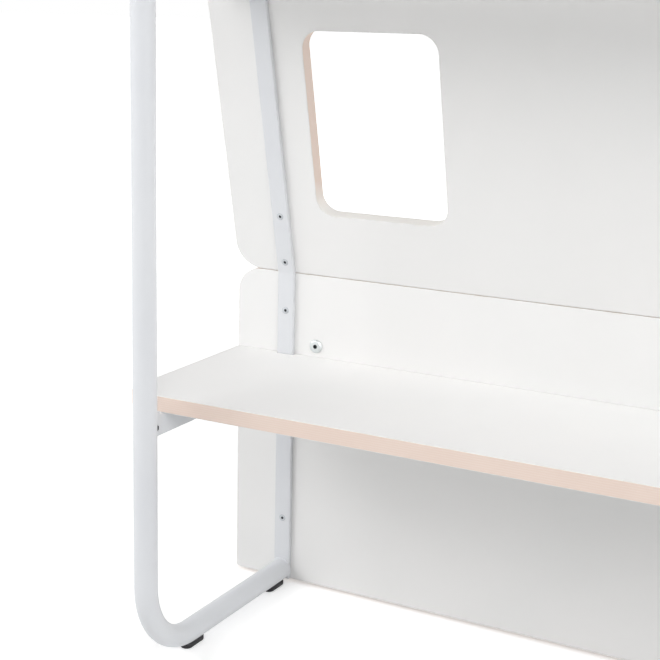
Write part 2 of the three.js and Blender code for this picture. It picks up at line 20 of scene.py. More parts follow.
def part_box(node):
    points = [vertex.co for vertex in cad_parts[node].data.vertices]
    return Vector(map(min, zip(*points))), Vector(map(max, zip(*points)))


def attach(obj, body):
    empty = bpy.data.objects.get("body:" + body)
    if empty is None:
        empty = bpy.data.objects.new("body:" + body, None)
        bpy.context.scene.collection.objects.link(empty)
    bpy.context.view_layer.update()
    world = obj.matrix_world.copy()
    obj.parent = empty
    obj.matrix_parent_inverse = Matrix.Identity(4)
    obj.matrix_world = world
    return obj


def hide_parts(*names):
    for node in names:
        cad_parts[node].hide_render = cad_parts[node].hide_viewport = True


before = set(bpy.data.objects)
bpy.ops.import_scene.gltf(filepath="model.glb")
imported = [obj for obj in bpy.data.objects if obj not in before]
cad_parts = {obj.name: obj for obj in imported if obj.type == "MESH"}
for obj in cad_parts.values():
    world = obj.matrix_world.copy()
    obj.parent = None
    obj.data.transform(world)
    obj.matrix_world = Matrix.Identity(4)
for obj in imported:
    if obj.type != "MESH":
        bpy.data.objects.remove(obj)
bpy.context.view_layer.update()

print("nodes:", len(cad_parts))

# %% [markdown]
# ## Sizes
#
# We think in millimetres and in a drawing frame of our own: x from the left side frame's
# plane, y from the centre of its front tube, z from the floor. The CAD model tells us where
# that frame lies, because each node's box can be measured. What follows from a box is
# measured, and only what no box shows, such as a radius, is written down as a value.

# %% Sizes from the CAD model, and those that it doesn't show
MM = 0.001
TINY = 1e-6

tube_low, tube_high = (np.array(corner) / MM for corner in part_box("side_tube_left"))
tube_radius = (tube_high[0] - tube_low[0]) / 2
shift = np.array([(tube_low[0] + tube_high[0]) / 2, tube_low[1] + tube_radius, 0.0])


def box_of(node):
    """Lowest and highest corner of a node's box, in drawing millimetres."""
    low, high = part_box(node)
    return np.array(low) / MM - shift, np.array(high) / MM - shift


frame_spacing = -2 * shift[0]
FRAMES = (("left", -1, 0.0), ("right", 1, frame_spacing))
lower_board_low, lower_board_high = box_of("lower_back_board")
upper_board_high = box_of("upper_back_board")[1]
strap_low, strap_high = box_of("back_strap_left")

board_thickness = lower_board_high[1] - lower_board_low[1]
board_left, board_right = lower_board_low[0], frame_spacing - lower_board_low[0]
panel_front = lower_board_low[1]
joint_height = lower_board_high[2]
lean = math.radians(13)
DECKS = (("lower", 0.0), ("upper", math.tan(lean)))
seat = 0.3
flat_width = strap_high[0] - strap_low[0]
flat_thickness = 6.0
strap_depth = flat_thickness + seat
frame_depth = panel_front - strap_depth
low_line = tube_low[2] + tube_radius
high_line = tube_high[2] - tube_radius
joint_gap = 0.5
board_top = (upper_board_high[2] - joint_height
             - board_thickness * math.sin(lean)) / math.cos(lean)
print("frame spacing", round(frame_spacing, 1), "panel front", round(panel_front, 1),
      "leaning board", round(board_top, 1))

# %% [markdown]
# ## The camera
#
# The camera's place, turn and focal length were found from the photograph's straight
# edges. A photograph that was cut out of a larger one looks off its middle, and the lens
# shift stands for that. The rotation is written as three axes: right, up and back.

# %% Camera at the photograph's viewing angle
PICTURE = 660
focal_pixels = 1445.73
centre_pixel = (266.19, 295.83)
yaw, pitch, roll = (math.radians(a) for a in (30.262, 12.121, 0.710))
camera_place = np.array([980.2, -1390.2, low_line + 836.2])


def new_object(name, data):
    """An object that holds some data, linked into the scene."""
    holder = bpy.data.objects.new(name, data)
    bpy.context.scene.collection.objects.link(holder)
    return holder


ahead = np.array([
    -math.sin(yaw) * math.cos(pitch), math.cos(yaw) * math.cos(pitch), -math.sin(pitch),
])
level = np.array([math.cos(yaw), math.sin(yaw), 0.0])
upward = np.cross(level, ahead)
right = math.cos(roll) * level + math.sin(roll) * upward
up = math.cos(roll) * upward - math.sin(roll) * level

camera = new_object("photo_camera", bpy.data.cameras.new("photo_camera"))
turn = np.eye(4)
turn[:3] = np.stack([right, up, -ahead, (camera_place + shift) * MM], axis=1)
camera.matrix_world = Matrix(turn.tolist())
camera.data.sensor_width = 36.0
camera.data.lens = focal_pixels * camera.data.sensor_width / PICTURE
camera.data.shift_x = (PICTURE / 2 - centre_pixel[0]) / PICTURE
camera.data.shift_y = (centre_pixel[1] - PICTURE / 2) / PICTURE
camera.data.clip_start = 0.05
bpy.context.scene.camera = camera
print("lens", round(camera.data.lens, 2), "mm")

# %% [markdown]
# ## Floor, backdrop and light
#
# The photograph is a cut-out on pure white. Pouring light on a floor would burn out the
# object too. Light Path tells a shader which kind of ray is looking, so the floor can show
# the camera a lighter colour than the one with which it lights the object. Plated metal
# must see the same white, so glossy and transmission rays are treated as the camera's are.
# Near the object the lamps alone make the floor almost white, and a glow that grows with
# the distance does the rest, so that the object's own shadow stays.
#
# One helper adds a node and feeds its inputs, with a value or with another node's output.

# %% World and floor
WHITE = (1.0, 1.0, 1.0, 1.0)
FLOOR_GREY = (0.9, 0.9, 0.9, 1.0)
WORLD_LIGHT, WORLD_SHOWN = 0.24, 1.0
GLOW_NEAR, GLOW_FAR = 0.36, 0.92
GLOW_START, GLOW_END = 1.2, 4.5
FLOOR_REACH = 30.0


def shader_tree(owner):
    """Empties a material's or world's node tree and returns it."""
    owner.use_nodes = True
    owner.node_tree.nodes.clear()
    return owner.node_tree


def feed(tree, socket, value):
    """Links an input to an output, or writes a plain value into it."""
    if isinstance(value, bpy.types.NodeSocket):
        tree.links.new(value, socket)
    else:
        socket.default_value = value


def add_node(tree, kind, *fed, **named):
    """Adds a node, sets what is named, and feeds the rest to its inputs in order.

    A name stands for an attribute, or else for an input, with _ for a space."""
    node = tree.nodes.new(kind if kind.startswith("NodeGroup") else "ShaderNode" + kind)
    node.location = (200 * len(tree.nodes), 0)
    for name, value in named.items():
        if hasattr(node, name):
            setattr(node, name, value)
        else:
            feed(tree, node.inputs[name.replace("_", " ")], value)
    for socket, value in zip(node.inputs, fed):
        feed(tree, socket, value)
    return node


def result(tree, kind, *fed, **named):
    """First output of a new node."""
    return add_node(tree, kind, *fed, **named).outputs[0]


def maths(tree, operation, *fed, **named):
    """Result of a Math node with one or two inputs."""
    return result(tree, "Math", *fed, operation=operation, **named)


def spread(tree, value, low, high, to_low, to_high):
    """Maps a value's range from low..high to another range, and clamps it there."""
    return result(tree, "MapRange", value, low, high, to_low, to_high, clamp=True)


def end_tree(tree, output, lighting, shown):
    """Shows one shader to camera, glossy and transmission rays, and another to the rest."""
    rays = add_node(tree, "LightPath").outputs
    seen = maths(tree, "MAXIMUM", rays["Is Camera Ray"], rays["Is Glossy Ray"])
    seen = maths(tree, "MAXIMUM", seen, rays["Is Transmission Ray"])
    add_node(tree, output, result(tree, "MixShader", seen, lighting, shown))


world = bpy.data.worlds.new("studio")
bpy.context.scene.world = world
tree = shader_tree(world)
end_tree(tree, "OutputWorld",
         *[result(tree, "Background", WHITE, strength)
           for strength in (WORLD_LIGHT, WORLD_SHOWN)])

floor_paint = bpy.data.materials.new("floor_paint")
tree = shader_tree(floor_paint)
matt = result(tree, "BsdfDiffuse", FLOOR_GREY)
place = add_node(tree, "TexCoord").outputs["Object"]
distance = add_node(tree, "VectorMath", place, operation="LENGTH").outputs["Value"]
fade = spread(tree, distance, GLOW_START, GLOW_END, GLOW_NEAR, GLOW_FAR)
glow = result(tree, "Emission", WHITE, fade)
end_tree(tree, "OutputMaterial", matt, result(tree, "AddShader", matt, glow))

floor_mesh = bpy.data.meshes.new("studio_floor")
corners = FLOOR_REACH * np.array([(-1, -1, 0), (1, -1, 0), (1, 1, 0), (-1, 1, 0)])
floor_mesh.from_pydata(corners.tolist(), [], [(0, 1, 2, 3)])
floor_mesh.materials.append(floor_paint)
floor = new_object("studio_floor", floor_mesh)

# %% [markdown]
# Five large soft lamps stand round the object, as in a studio: squares at a place, turned
# to a point, in metres. Their powers come from even patches of the photograph by least
# squares, because the light of several lamps adds up.

# %% Lamps
LAMPS = (
    ("left_light", (-2.9, -3.0, 2.75), (-0.45, 0.0, 0.35), 2.2, 55),
    ("right_light", (2.2, -3.0, 3.4), (-0.4, 0.0, 0.5), 3.0, 102),
    ("far_left_light", (-4.2, -1.6, 2.2), (-0.5, 0.0, 0.4), 2.4, 57),
    ("far_right_light", (3.4, -0.4, 1.8), (-0.5, 0.0, 0.5), 2.6, 34),
    ("back_light", (0.6, 4.0, 2.4), (0.0, 0.0, 0.5), 3.0, 84),
)
for name, place, aim, size, watts in LAMPS:
    lamp = bpy.data.lights.new(name, "AREA")
    lamp.shape, lamp.size, lamp.energy = "SQUARE", size, watts
    holder = new_object(name, lamp)
    holder.location = place
    holder.rotation_mode = "QUATERNION"
    holder.rotation_quaternion = (Vector(aim) - Vector(place)).to_track_quat("-Z", "Y")
    print(name, watts, "W")
bpy.context.scene.view_settings.view_transform = "Standard"

# %% [markdown]
# ## Shader groups
#
# Six finishes share a few effects, so each effect is a node group that is built once and
# placed in each material with its own values. It gives out a mask or a height, and never a
# shader, so that the whole can be baked. The first one gives a fine and a broad noise, for
# a powder coat's orange peel and its slow clouds.

# %% Group helpers, and the group for speckles


def new_group(name, outputs, **numbers):
    """An empty group with a Vector input, number inputs and number outputs."""
    group = bpy.data.node_groups.new(name, "ShaderNodeTree")
    group.interface.new_socket("Vector", in_out="INPUT", socket_type="NodeSocketVector")
    for label, value in numbers.items():
        socket = group.interface.new_socket(label.replace("_", " "), in_out="INPUT",
                                            socket_type="NodeSocketFloat")
        socket.default_value = value
    for label in outputs:
        group.interface.new_socket(label, in_out="OUTPUT", socket_type="NodeSocketFloat")
    return group, add_node(group, "NodeGroupInput").outputs


def noise(tree, vector, scale, detail, roughness):
    """A noise texture's value, 0 to 1, at a scale that is a number or a socket."""
    return result(tree, "TexNoise", Vector=vector, Scale=scale, Detail=detail,
                  Roughness=roughness)


def mix_colour(tree, share, first, second):
    """A colour between two others, where each of the three is a value or a socket."""
    node = add_node(tree, "Mix", data_type="RGBA")
    for slot, value in ((0, share), (6, first), (7, second)):
        feed(tree, node.inputs[slot], value)
    return node.outputs[2]


speckle_group, start = new_group("fine_and_broad_speckle", ("Fine", "Broad"),
                                 Fine_Scale=900.0, Broad_Scale=7.0)
fine = noise(speckle_group, start["Vector"], start["Fine Scale"], 2.0, 0.5)
broad = noise(speckle_group, start["Vector"], start["Broad Scale"], 3.0, 0.55)
add_node(speckle_group, "NodeGroupOutput", fine, broad)

# %% [markdown]
# Where a hand or a box rubs, paint and facing dull and darken first along the edges. The
# pieces below carry a number at each point that is 1 on a rounded edge and 0 on a face,
# and this group breaks that number up with noise, so that the rubbing comes and goes.

# %% Group for rubbed edges
RUB_FROM, RUB_TO = 0.42, 0.66

rub_group, start = new_group("rubbed_edges", ("Mask",), Edge=0.0, Amount=0.5,
                             Patch_Scale=60.0)
patches = noise(rub_group, start["Vector"], start["Patch Scale"], 4.0, 0.6)
broken = spread(rub_group, patches, RUB_FROM, RUB_TO, 0.0, 1.0)
on_edge = maths(rub_group, "MULTIPLY", broken, start["Edge"])
mask = maths(rub_group, "MULTIPLY", on_edge, start["Amount"], use_clamp=True)
add_node(rub_group, "NodeGroupOutput", mask)

# %% [markdown]
# Plywood shows its build at the edge: layers a good millimetre thick whose grain runs
# by turns along the edge and across it, with a thin dark glue line between them. The
# edge's own map gives the distance along it and across it, so the layers are a wave over
# the second, and the grain is noise that is stretched along the first.

# %% Group for plywood layers
GLUE_FROM = 0.41
GRAIN_STRETCH = 0.06

ply_group, start = new_group("plywood_layers", ("Turn", "Glue", "Grain", "Pores"),
                             Layers=15.0, Thickness=0.021)
along, across = add_node(ply_group, "SeparateXYZ", start["Vector"]).outputs[:2]
share = maths(ply_group, "DIVIDE", across, start["Thickness"])
layer = maths(ply_group, "MULTIPLY", share, start["Layers"])
number = maths(ply_group, "FLOOR", layer)
turn_of_grain = maths(ply_group, "MODULO", number, 2.0)
within = maths(ply_group, "SUBTRACT", maths(ply_group, "FRACT", layer), 0.5)
glue = spread(ply_group, maths(ply_group, "ABSOLUTE", within), GLUE_FROM, 0.5, 0.0, 1.0)
slow = maths(ply_group, "MULTIPLY", along, GRAIN_STRETCH)
grain, pores = (
    noise(ply_group, result(ply_group, "CombineXYZ", run, across, number), *look)
    for run, look in ((slow, (1500.0, 3.0, 0.6)), (along, (1900.0, 2.0, 0.7)))
)
add_node(ply_group, "NodeGroupOutput", turn_of_grain, glue, grain, pores)
print("groups:", [group.name for group in bpy.data.node_groups])

# %% [markdown]
# ## Finishes
#
# Colours are read off the photograph as screen colours, and a shader wants them linear, so
# one function turns them. The steel has a cool white powder coat with a fine orange peel.
# The boards have a warmer white facing with a hardly visible fibre. Bolts and screws are
# zinc plated, the connector bolts are nickel plated, and the glides are black plastic with
# a moulded grain. One function makes these five. Paint and facing are rubbed along their
# edges, and what is plated has painted shade, a dark tone, in its sockets.

# %% Painted, faced, plated and moulded finishes
NOISE_SPAN = (0.3, 0.7)


def linear(red, green, blue):
    """Screen colour, 0 to 255, as linear light: ((c + 0.055) / 1.055) ** 2.4."""
    value = np.array([red, green, blue]) / 255
    light = np.where(value <= 0.04045, value / 12.92, ((value + 0.055) / 1.055) ** 2.4)
    return (*[float(channel) for channel in light], 1.0)


def tuned(tree, value, low, high):
    """Spreads the span in which a noise mostly lies to low..high."""
    return spread(tree, value, *NOISE_SPAN, low, high)


def start_finish(name, roughness, fine, broad, metallic=0.0):
    """A material, its tree, shader and place, and its speckles at two scales."""
    material = bpy.data.materials.new(name)
    tree = shader_tree(material)
    shader = add_node(tree, "BsdfPrincipled", Roughness=roughness, Metallic=metallic)
    add_node(tree, "OutputMaterial", shader.outputs[0])
    where = add_node(tree, "TexCoord").outputs["Object"]
    speckle = add_node(tree, "Group", where, fine, broad, node_tree=speckle_group)
    return material, tree, shader, where, speckle.outputs


def end_finish(tree, shader, colour, gloss, height, relief):
    """Feeds colour, roughness and a bump: a height of 1 is a relief in metres."""
    normal = result(tree, "Bump", Strength=1.0, Distance=relief, Height=height)
    for label, value in (("Base Color", colour), ("Roughness", gloss), ("Normal", normal)):
        feed(tree, shader.inputs[label], value)


def finish(name, base, tones, gloss, relief, edge=None, rub=None):
    """A finish between two tones, and a third where a piece's edge number is 1.

    Base is the roughness, the scales of the speckles and how metallic it is. Gloss names
    the speckle that the roughness follows, and the range that it takes. Rub breaks the
    edge number up: its amount, and the scale of its patches."""
    material, tree, shader, where, speckle = start_finish(name, *base)
    share = tuned(tree, speckle["Broad"], 0.0, 1.0) if rub else speckle["Broad"]
    colour = mix_colour(tree, share, *(linear(*tone) for tone in tones))
    if edge:
        mask = add_node(tree, "Attribute", attribute_name="edge").outputs["Fac"]
        if rub:
            mask = result(tree, "Group", where, mask, *rub, node_tree=rub_group)
        colour = mix_colour(tree, mask, colour, linear(*edge))
    end_finish(tree, shader, colour, tuned(tree, speckle[gloss[0]], *gloss[1:]),
               speckle["Fine"], relief)
    return material


steel_paint = finish("steel_paint", (0.42, 750.0, 6.0), ((218, 220, 224), (223, 225, 228)),
                     ("Fine", 0.36, 0.47), 0.00006, (196, 198, 200), (0.35, 90.0))
board_face = finish("board_face", (0.5, 1300.0, 3.5), ((236, 236, 235), (240, 239, 238)),
                    ("Broad", 0.47, 0.56), 0.00002, (214, 208, 198), (0.5, 45.0))
# The plated finishes' third tone is painted shade: it darkens the sockets of screws, bolts and
# nuts.
zinc_plate, nickel_plate = (
    finish(name, (0.34, 2200.0, 260.0, 0.9), tones, ("Broad", 0.26, 0.42), 0.00001,
           (58, 62, 63))
    for name, tones in (("zinc_plate", ((172, 176, 181), (206, 209, 212))),
                        ("nickel_plate", ((206, 212, 213), (227, 231, 231))))
)
glide_black = finish("glide_black", (0.55, 1600.0, 55.0), ((14, 13, 18), (25, 24, 30)),
                     ("Fine", 0.48, 0.66), 0.00005)

# %% [markdown]
# The boards' edges are bare and oiled, with the layers of the plywood in view. The windows'
# sills are coloured almost white, as in the photograph: of all bare edges they are the only
# ones within a board, over the joint, and the height tells them from the jambs.

# %% Bare and sealed board edges
WITHIN_BOARD = 0.75
OVER_JOINT = 0.5
PALE_TO, BARE_FROM = 0.56, 0.6
GLUE_SHADE, OIL_SHADE = 0.08, 0.25

board_edge, tree, shader, where, speckle = start_finish("board_edge", 0.6, 500.0, 9.0)
edge_map = result(tree, "UVMap", uv_map="plies")
plies = add_node(tree, "Group", edge_map, node_tree=ply_group).outputs
long_grain = mix_colour(tree, plies["Grain"], linear(228, 209, 197), linear(238, 222, 212))
end_grain = mix_colour(tree, plies["Pores"], linear(226, 205, 192), linear(236, 218, 206))
layers = mix_colour(tree, plies["Turn"], long_grain, end_grain)
glued = maths(tree, "MULTIPLY", plies["Glue"], GLUE_SHADE)
lined = mix_colour(tree, glued, layers, linear(176, 148, 132))
patchy = tuned(tree, speckle["Broad"], 0.0, OIL_SHADE)
oiled = mix_colour(tree, patchy, lined, linear(222, 198, 184))

# The window sills are coloured almost white, paler than the other bare edges.
axes = add_node(tree, "SeparateXYZ", where).outputs
inside = maths(tree, "LESS_THAN", maths(tree, "ABSOLUTE", axes["X"]), WITHIN_BOARD)
above = maths(tree, "GREATER_THAN", axes["Z"], OVER_JOINT)
by_sill = spread(tree, axes["Z"], PALE_TO, BARE_FROM, 1.0, 0.0)
whitened = maths(tree, "MULTIPLY", maths(tree, "MULTIPLY", inside, above), by_sill)
end_finish(tree, shader, mix_colour(tree, whitened, oiled, linear(241, 239, 235)),
           tuned(tree, plies["Pores"], 0.5, 0.7),
           maths(tree, "SUBTRACT", plies["Grain"], plies["Glue"]), 0.00008)

BOARD = ([board_face, board_edge], "faced_plywood")
STEEL = ([steel_paint], "steel_paint")
ZINC = ([zinc_plate], "zinc_steel")
NICKEL = ([nickel_plate], "zinc_steel")
BLACK = ([glide_black], "black_plastic")
print("finishes:", [material.name for material in bpy.data.materials])

# %% [markdown]
# ## From arrays to meshes
#
# Every piece below is a stack of closed rings: a ring is an outline, and each next ring is
# the same outline drawn in, moved on or bent. A stack is one array of shape (rings,
# points, 3), so all of its points come from one formula and all of its quads from one
# count of indices. The two ends are closed by a flat cap, which may have holes. Rounded
# edges are rings too.

# %% Outlines
NO_AREA = 1e-9


def arc(centre, radius, start, stop, steps):
    """Points of an arc: centre + r (cos a, sin a), angles in degrees."""
    angle = np.radians(np.linspace(start, stop, steps + 1))
    return np.array(centre) + radius * np.stack([np.cos(angle), np.sin(angle)], axis=1)


def circle(centre, radius, sides=32):
    """Anticlockwise circle as a loop of points."""
    return arc(centre, radius, 0, 360 - 360 / sides, sides - 1)


def rounded(u0, v0, u1, v1, radii, steps=10):
    """Anticlockwise rectangle with round corners, from the lower left one."""
    corners = []
    spots = ((u0, v0, 1, 1), (u1, v0, -1, 1), (u1, v1, -1, -1), (u0, v1, 1, -1))
    for n, ((u, v, du, dv), radius) in enumerate(zip(spots, radii)):
        start = (180 + 90 * n) % 360
        corner = arc((u + du * radius, v + dv * radius), radius, start, start + 90, steps)
        corners.append(corner if radius > 0 else corner[:1])
    return np.concatenate(corners)


def outward(loop):
    """Mitre of each corner: (n1 + n2) / (1 + n1 . n2), with n to the right of the travel."""
    step = np.roll(loop, -1, axis=0) - loop
    normal = np.stack([step[:, 1], -step[:, 0]], axis=1)
    normal /= np.linalg.norm(normal, axis=1, keepdims=True)
    before = np.roll(normal, 1, axis=0)
    return (before + normal) / (1 + (before * normal).sum(axis=1, keepdims=True))


def eased(thickness, radius, steps=3, margin=2.0):
    """Section of a slab's rim as rows of inset, depth and edge number.

    A quarter circle at either face: inset = r (1 - sin a), depth = r (1 - cos a)."""
    angle = np.linspace(0, math.pi / 2, steps + 1)
    edge = np.interp(angle, [0, math.pi / 4, math.pi / 2], [0.6, 1.0, 0.6])
    front = np.stack([radius * (1 - np.sin(angle)), radius * (1 - np.cos(angle)), edge], 1)
    half = np.concatenate([[[radius + margin, 0, 0]], front, [[0, radius + margin, 0]]])
    return np.concatenate([half, half[::-1] * [1, -1, 1] + [0, thickness, 0]])


def rim_rings(loop, rim):
    """Rings loop - inset * outward(loop), each at its depth, one for each row of a rim."""
    flat = loop[None] - rim[:, None, :1] * outward(loop)[None]
    depth = np.broadcast_to(rim[:, 1][:, None, None], (len(rim), len(loop), 1))
    return np.concatenate([flat, depth], axis=2)


def spun(radius, u, v):
    """Rings radius (cos t u + sin t v), with one angle t for each column of radius."""
    angle = np.linspace(0, 2 * math.pi, radius.shape[1], endpoint=False)[None, :, None]
    u, v = np.atleast_2d(u)[:, None], np.atleast_2d(v)[:, None]
    return radius[..., None] * (np.cos(angle) * u + np.sin(angle) * v)


# %% [markdown]
# A body is a set of arrays: points, faces, a map of each face, the kind of finish on each
# face, and the edge number of each point. Boards, decks and plates are slabs, tubes and
# turned pieces are lofts, and bodies can be joined or moved as a whole.

# %% Bodies


def ring_quads(rings, points, start=0):
    """Quads between rings: (k, i), (k + 1, i), (k + 1, i + 1), (k, i + 1), i modulo points."""
    k, i = np.meshgrid(np.arange(rings - 1), np.arange(points), indexing="ij")
    j = (i + 1) % points
    corners = np.stack([k * points + i, (k + 1) * points + i,
                        (k + 1) * points + j, k * points + j], axis=-1)
    return start + corners.reshape(-1, 4)


def quad_maps(travel, down):
    """The same quads' map: travel round the outline, and down from ring to ring."""
    k, i = np.meshgrid(np.arange(len(down) - 1), np.arange(len(travel) - 1), indexing="ij")
    corners = ((i, k), (i, k + 1), (i + 1, k + 1), (i + 1, k))
    return np.stack([np.stack([travel[a], down[b]], -1) for a, b in corners],
                    axis=2).reshape(-1, 4, 2)


def cap_triangles(loops, flip):
    """Triangles that fill the first loop, a flat outline, but not the loops inside it.

    Each triangle is turned so that its area (b - a) x (c - a) is positive, or negative
    where flip is true."""
    flat = [[Vector((u, v, 0.0)) for u, v in loop] for loop in loops]
    triangles = np.array(tessellate_polygon(flat))
    points = np.concatenate(loops)
    a, b, c = (points[triangles[:, n]] for n in range(3))
    area = ((b - a)[:, 0] * (c - a)[:, 1] - (b - a)[:, 1] * (c - a)[:, 0]) / 2
    real = np.abs(area) > NO_AREA
    triangles, wrong = triangles[real], (area[real] < 0) != flip
    triangles[wrong] = triangles[wrong][:, ::-1]
    return triangles


def as_body(points, faces, edges, maps=None, kinds=None):
    """Lists of arrays as one body, of the first kind and unmapped if nothing else is said."""
    maps = maps or [np.zeros((*group.shape, 2)) for group in faces]
    kinds = kinds or [np.zeros(len(group), int) for group in faces]
    return {"points": np.concatenate(points), "faces": faces, "maps": maps,
            "kinds": np.concatenate(kinds), "edges": np.concatenate(edges)}


def joined(*bodies):
    """Several bodies as one, with the indices of the later ones moved up."""
    starts = np.cumsum([0] + [len(body["points"]) for body in bodies])
    faces = [group + start for body, start in zip(bodies, starts)
             for group in body["faces"]]
    maps = [part for body in bodies for part in body["maps"]]
    points, edges, kinds = ([body[key] for body in bodies]
                            for key in ("points", "edges", "kinds"))
    return as_body(points, faces, edges, maps, kinds)


def wall(loop, rim):
    """The rings of a rim round a loop, as a body without ends.

    Only its upright faces are of the second kind, which shows the plies."""
    lengths = np.linalg.norm(np.roll(loop, -1, axis=0) - loop, axis=1)
    travel = np.concatenate([[0], np.cumsum(lengths)])
    upright = np.abs(np.diff(rim[:, 0])) < TINY
    return as_body([rim_rings(loop, rim).reshape(-1, 3)], [ring_quads(len(rim), len(loop))],
                   [np.repeat(rim[:, 2], len(loop))],
                   [quad_maps(travel * MM, rim[:, 1] * MM)],
                   [np.repeat(upright.astype(int), len(loop))])


def slab(outline, section, holes=()):
    """A flat body in u, v and depth: walls round each loop, and a cap on either face.

    Hole loops run clockwise, so the formula for the rings moves them into the material
    as well."""
    loops = [(outline, section)] + [(loop[::-1], rim) for loop, rim in holes]
    walls = [wall(*loop) for loop in loops]
    body = joined(*walls)
    ends = np.cumsum([0] + [len(part["points"]) for part in walls])
    rings = [np.arange(len(loop)) for loop, _ in loops]
    first = [ring + start for ring, start in zip(rings, ends)]
    last = [ring + stop - len(ring) for ring, stop in zip(rings, ends[1:])]
    for group, flip in ((first, False), (last, True)):
        flat = [body["points"][ring, :2] for ring in group]
        triangles = cap_triangles(flat, flip)
        body["faces"].append(np.concatenate(group)[triangles])
        body["maps"].append(np.concatenate(flat)[triangles] * MM)
        body["kinds"] = np.append(body["kinds"], np.zeros(len(triangles), int))
    return body


def loft(rings, edges=None):
    """A body from a stack of rings (K, N, 3), closed by one flat face at each end."""
    count, sides = rings.shape[:2]
    faces = [ring_quads(count, sides), np.arange(sides)[None],
             ((count - 1) * sides + np.arange(sides))[::-1][None]]
    maps = [quad_maps(np.linspace(0, 1, sides + 1), np.arange(count)),
            np.zeros((1, sides, 2)), np.zeros((1, sides, 2))]
    edges = np.zeros(count) if edges is None else edges
    return as_body([rings.reshape(-1, 3)], faces, [np.repeat(edges, sides)], maps)


def moved(body, matrix=np.eye(3), origin=(0, 0, 0)):
    """A body whose u, v and depth become the matrix's rows: p @ rows + origin."""
    return {**body, "points": body["points"] @ np.array(matrix, float) + np.array(origin)}


# %% [markdown]
# A mesh is then written in one go. The volume, a sum of a . (b x c) / 6 over all triangles,
# is negative where a body is inside out, and then its faces are turned. Shading is smooth
# except over angles that are real corners, which suits both tubes and boards.

# %% Write a body into the scene
total = {"pieces": 0, "triangles": 0}


def signed_volume(points, faces):
    """Sum of a . (b x c) / 6 over the triangles of all faces, each cut as a fan."""
    volume = 0.0
    for group in faces:
        for n in range(1, group.shape[1] - 1):
            a, b, c = points[group[:, 0]], points[group[:, n]], points[group[:, n + 1]]
            volume += float((a * np.cross(b, c)).sum() / 6)
    return volume


def add_piece(name, body, finishes, slot, *nodes, sharp=40.0):
    """Makes a mesh object of a body in drawing millimetres, and puts it in the frame."""
    points = (body["points"] + shift) * MM
    turned_in = signed_volume(points - points.mean(axis=0), body["faces"]) < 0
    faces, maps = ([part[:, ::-1] if turned_in else part for part in body[key]]
                   for key in ("faces", "maps"))
    mesh = bpy.data.meshes.new(name)
    mesh.from_pydata(points.tolist(), [], [row for group in faces for row in group.tolist()])
    for coat in finishes:
        mesh.materials.append(coat)
    kinds = np.minimum(body["kinds"], len(finishes) - 1).astype(np.int32)
    mesh.polygons.foreach_set("material_index", kinds)
    layer = mesh.uv_layers.new(name="plies")
    layer.data.foreach_set("uv", np.concatenate([part.reshape(-1) for part in maps]))
    edge = mesh.attributes.new("edge", "FLOAT", "POINT")
    edge.data.foreach_set("value", body["edges"].astype(np.float32))
    mesh.shade_smooth()
    mesh.set_sharp_from_angle(angle=math.radians(sharp))
    mesh.validate()
    mesh.update()
    piece = new_object(name, mesh)
    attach(piece, "root")
    if nodes:
        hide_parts(*nodes)
    total["pieces"] += 1
    total["triangles"] += sum(len(group) * (group.shape[1] - 2) for group in faces)


X, Y, Z = np.eye(3)
UPRIGHT = np.array([X, Z, Y])
LEANING_UP = math.cos(lean) * Z - math.sin(lean) * Y
LEANING_BACK = math.cos(lean) * Y + math.sin(lean) * Z
LEANING = np.array([X, LEANING_UP, LEANING_BACK])
joint = np.array([0.0, panel_front, joint_height])

# %% [markdown]
# ## The two back boards
#
# Each back board is a faced plywood sheet. The lower one stands upright, a few millimetres
# off the floor, and the upper one stands on it and leans forward, so that it makes a back
# rest on the bed's side. The windows are cut with round corners, as a router leaves them.
# A board is a slab with an eased rim, and the windows are holes with the same rim.

# %% Back boards
board_rim = eased(board_thickness, 0.7)
foot_corner, joint_corner, top_corner = 5, 35, 38
window_inset, window_width = 56.5, 192.5
window_sill, window_height, window_radius = 91.5, 254.5, 25.5

outline = rounded(board_left, lower_board_low[2], board_right, joint_height,
                  (foot_corner, foot_corner, joint_corner, joint_corner))
add_piece("lower_board", moved(slab(outline, board_rim), UPRIGHT, (0, panel_front, 0)),
          *BOARD, "lower_back_board")

outline = rounded(board_left, joint_gap, board_right, board_top, (top_corner,) * 4)
windows = [
    (rounded(side, window_sill, side + window_width, window_sill + window_height,
             (window_radius,) * 4), board_rim)
    for side in (window_inset, frame_spacing - window_inset - window_width)
]
add_piece("upper_board", moved(slab(outline, board_rim, windows), LEANING, joint),
          *BOARD, "upper_back_board")
print("boards:", round(board_right - board_left), "mm long")

# %% [markdown]
# ## The decks
#
# A deck lies on the bearers and runs back to the board behind it, with a notch round each
# strap. The front corners are round, because they stick out past the side frames where
# people walk. The upper deck meets the leaning board, so its rear edge is cut to the same
# slope: the points of that edge are pushed forward by the slope times the height.

# %% Decks
deck_setback, deck_corner = 68.5, 26.0
notch_gap, rear_zone = 1.0, 10.0
notch_half = flat_width / 2 + notch_gap

for level, slope in DECKS:
    low, high = (corner[2] for corner in box_of(f"{level}_deck"))
    back = panel_front - (low - joint_height) * slope - seat * math.hypot(1, slope)
    notch = back - flat_thickness - notch_gap
    front = rounded(board_left, deck_setback, board_right, back,
                    (deck_corner, deck_corner, 0, 0))[:-2]
    rear = [(board_right, back)]
    for centre in (frame_spacing, 0.0):
        near, far = centre - notch_half, centre + notch_half
        rear += [(far, back), (far, notch), (near, notch), (near, back)]
    rear.append((board_left, back))
    body = moved(slab(np.concatenate([front, rear]), board_rim), [X, Y, -Z], (0, 0, high))
    points = body["points"]
    cut = points[:, 1] > notch - rear_zone
    points[cut, 1] -= slope * (points[cut, 2] - low)
    add_piece(f"{level}_shelf", body, *BOARD, f"{level}_deck")
    print(level, "deck's top at", round(high), "mm")

